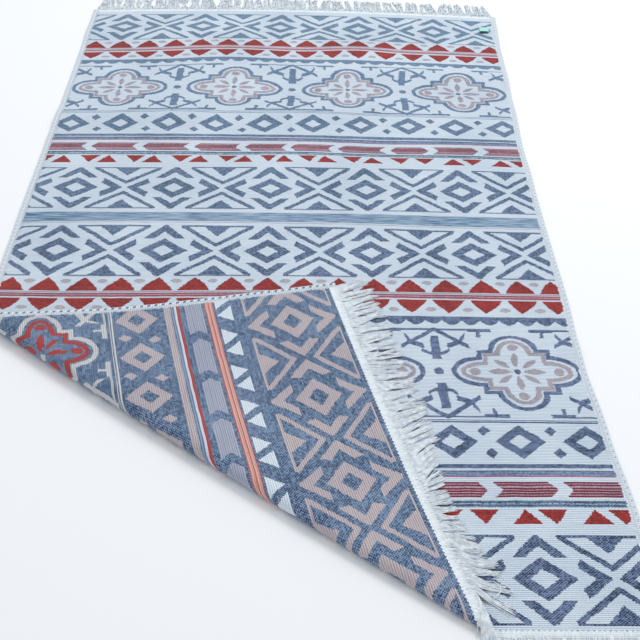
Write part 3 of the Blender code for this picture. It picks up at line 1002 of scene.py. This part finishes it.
def fringe(name, node, u_low, u_high, far_side, strands, seed, stray_yarns=()):
    """A stretch of fringe: clump beside clump along the cloth's end, each of a number of strands."""
    rng = random.Random(seed)
    sign = 1.0 if far_side else -1.0
    outer = PATTERN_LENGTH + HEADING if far_side else -HEADING
    curve = bpy.data.curves.new(name, "CURVE")
    curve.dimensions = "3D"
    curve.bevel_depth = STRAND_THICK / 2
    curve.bevel_resolution = 0
    curve.use_fill_caps = True
    clumps = round((u_high - u_low) / CLUMP_PITCH)
    for k in range(clumps):
        at = u_low + (k + 0.5 + rng.uniform(-0.2, 0.2)) * (u_high - u_low) / clumps
        edge = lay(at, outer)
        outward = (lay(at, outer + 0.001 * sign) - edge).normalized()
        across_from = (lay(at + 0.001, outer) - lay(at - 0.001, outer)).normalized()
        points_to = 90.0 if far_side else eased(NEAR_SWEEP, at, 1)
        bearing = math.radians(points_to + rng.gauss(0.0, BEARING_SPREAD))
        aim = Vector((math.cos(bearing), math.sin(bearing), 0.0))
        across_to = Vector((-aim.y, aim.x, 0.0))
        if across_to.dot(across_from) < 0:
            across_to = -across_to
        long = FRINGE_LENGTH * rng.uniform(0.86, 1.0) * (1.0 if far_side else eased(NEAR_SWEEP, at, 2))
        line = clump_line(edge, outward, aim, long, rng)
        gather = rng.uniform(0.2, 0.75)
        for j in range(strands):
            offset = ((j + 0.5) / strands - 0.5 + rng.uniform(-0.06, 0.06)) * CLUMP_PITCH * 1.25
            inside = outer - sign * rng.uniform(0.001, 0.006)
            root = lay(min(max(at + offset, u_low), u_high), inside, rng.uniform(-1.0, 1.0) * 0.0015)
            root.z = max(root.z, STRAND_THICK / 2)
            settings = (
                offset,
                gather,
                rng.gauss(0.0, YARN_STRAY),
                rng.uniform(-1.0, 1.0) * YARN_WAVE,
                rng.uniform(0.0, 6.28),
                rng.uniform(0.84, 1.0),
                rng.uniform(0.0, 1.0),
            )
            strand(curve, line, across_from, across_to, root, settings)
    for spots in stray_yarns:
        spline = curve.splines.new("POLY")
        spline.points.add(len(spots) - 1)
        for point, (x, y, z) in zip(spline.points, spots):
            point.co = (x, y, z, 1.0)
    drawn = bpy.data.objects.new(name, curve)
    bpy.context.scene.collection.objects.link(drawn)
    bpy.context.view_layer.update()
    mesh = bpy.data.meshes.new_from_object(drawn.evaluated_get(bpy.context.evaluated_depsgraph_get()))
    bpy.data.objects.remove(drawn)
    bm = bmesh.new()
    bm.from_mesh(mesh)
    bpy.data.meshes.remove(mesh)
    loose = keep(bm, name, 50.0)
    loose.data.materials.clear()
    loose.data.materials.append(fringe_cotton)
    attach(loose, "root")
    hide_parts(node)
    return loose


# One yarn curls round on the rug's face beside the sweep
CURL_CENTRE = Vector((0.2235, -0.6885, 0.0060))
CURL_WIDE = 0.0085
CURL_OPENS = 0.0010
CURL_DEEP = 0.0095
CURL_POINTS = 10
CURL_FROM = 95.0
CURL_STEP = 24.0
curl = [Vector((0.2005, -0.6770, 0.0080)), Vector((0.2085, -0.6795, 0.0062))]
for k in range(CURL_POINTS):
    turn = math.radians(CURL_FROM - CURL_STEP * k)
    wide = CURL_WIDE + CURL_OPENS * math.cos(turn)
    curl.append(CURL_CENTRE + Vector((wide * math.cos(turn), CURL_DEEP * math.sin(turn), 0.0)))

far_fringe = fringe("warp_fringe_far", "fringe_far", INSET, WIDTH - INSET, True, 13, 3)
near_fringe = fringe("warp_fringe_near", "fringe_near", SPLIT_U + GAP, WIDTH - INSET, False, 15, 5)
flap_fringe = fringe("warp_fringe_flap", "fringe_flap", INSET, SPLIT_U, False, 15, 7, (curl,))


# The label. A small bare tab of satin tape, sewn down along its far edge near the far right corner; its near
# edge stands a little off the cloth.
LABEL_U = 0.773
LABEL_V = 1.402
LABEL_WIDE = 0.018
LABEL_DEEP = 0.025
LABEL_THICK = 0.001
LABEL_LIFT = 0.0042

bm = grid(12, 14)
for vert in bm.verts:
    across, deep = vert.co.x, vert.co.y
    lift = LABEL_LIFT * (1 - deep) ** 2 + 0.0004 * math.sin(across * math.pi)
    low = CLOTH_THICK / 2 + GAP + LABEL_THICK / 2
    vert.co = lay(LABEL_U + (across - 0.5) * LABEL_WIDE, LABEL_V + deep * LABEL_DEEP, low + lift)
tab = keep(bm, "label_tab")
solid = tab.modifiers.new("thickness", "SOLIDIFY")
solid.thickness = LABEL_THICK
solid.offset = 0.0
tape, tree, shader = matte("label_tape", 0.55, 0.3)
uv = tree.nodes.new("ShaderNodeTexCoord")
shade = noise(tree, uv.outputs["Object"], 300.0, 900.0, 1.0, 2.0)
tree.links.new(blended(tree, shade, sight("C6F2EA"), sight("78CDB8")), shader.inputs["Base Color"])
relief(tree, shader, shade, 0.0002)
tab.data.materials.append(tape)
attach(tab, "root")
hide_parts("label")


# The floor, the light and the camera. A plain pale floor under soft daylight from the far right, seen from
# about a metre up, past the near end.
FLOOR_WIDE = 14.0
DAYLIGHT = 0.75
LIGHT_PLACE = (0.9, 1.3, 2.6)
LIGHT_WIDE = 1.6
LIGHT_POWER = 38.0
LENS = 64.31
EYE = (0.01448, -1.43927, 0.98465)
EYE_TURN = (0.88431, -0.02115, -0.00935)

bm = grid(2, 2)
for vert in bm.verts:
    vert.co = Vector(((vert.co.x - 0.5) * FLOOR_WIDE, (vert.co.y - 0.5) * FLOOR_WIDE, 0.0))
floor = keep(bm, "floor")
plain, tree, shader = matte("plain_floor", 0.8, 0.0)
shader.inputs["Base Color"].default_value = (0.93, 0.935, 0.94, 1.0)
floor.data.materials.append(plain)
floor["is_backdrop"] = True

world = bpy.data.worlds.new("daylight")
bpy.context.scene.world = world
world.use_nodes = True
world.node_tree.nodes["Background"].inputs["Color"].default_value = (0.93, 0.96, 1.0, 1.0)
world.node_tree.nodes["Background"].inputs["Strength"].default_value = DAYLIGHT

lamp = bpy.data.lights.new("sky_light", "AREA")
lamp.shape = "DISK"
lamp.size = LIGHT_WIDE
lamp.energy = LIGHT_POWER
light = bpy.data.objects.new("sky_light", lamp)
light.location = LIGHT_PLACE
light.rotation_euler = (-Vector(LIGHT_PLACE)).to_track_quat("-Z", "Y").to_euler()
bpy.context.scene.collection.objects.link(light)

camera_data = bpy.data.cameras.new("camera")
camera_data.sensor_width = 36.0
camera_data.lens = LENS
camera = bpy.data.objects.new("camera", camera_data)
camera.location = EYE
camera.rotation_euler = EYE_TURN
bpy.context.scene.collection.objects.link(camera)
bpy.context.scene.camera = camera
bpy.context.scene.view_settings.view_transform = "Standard"

low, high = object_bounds()
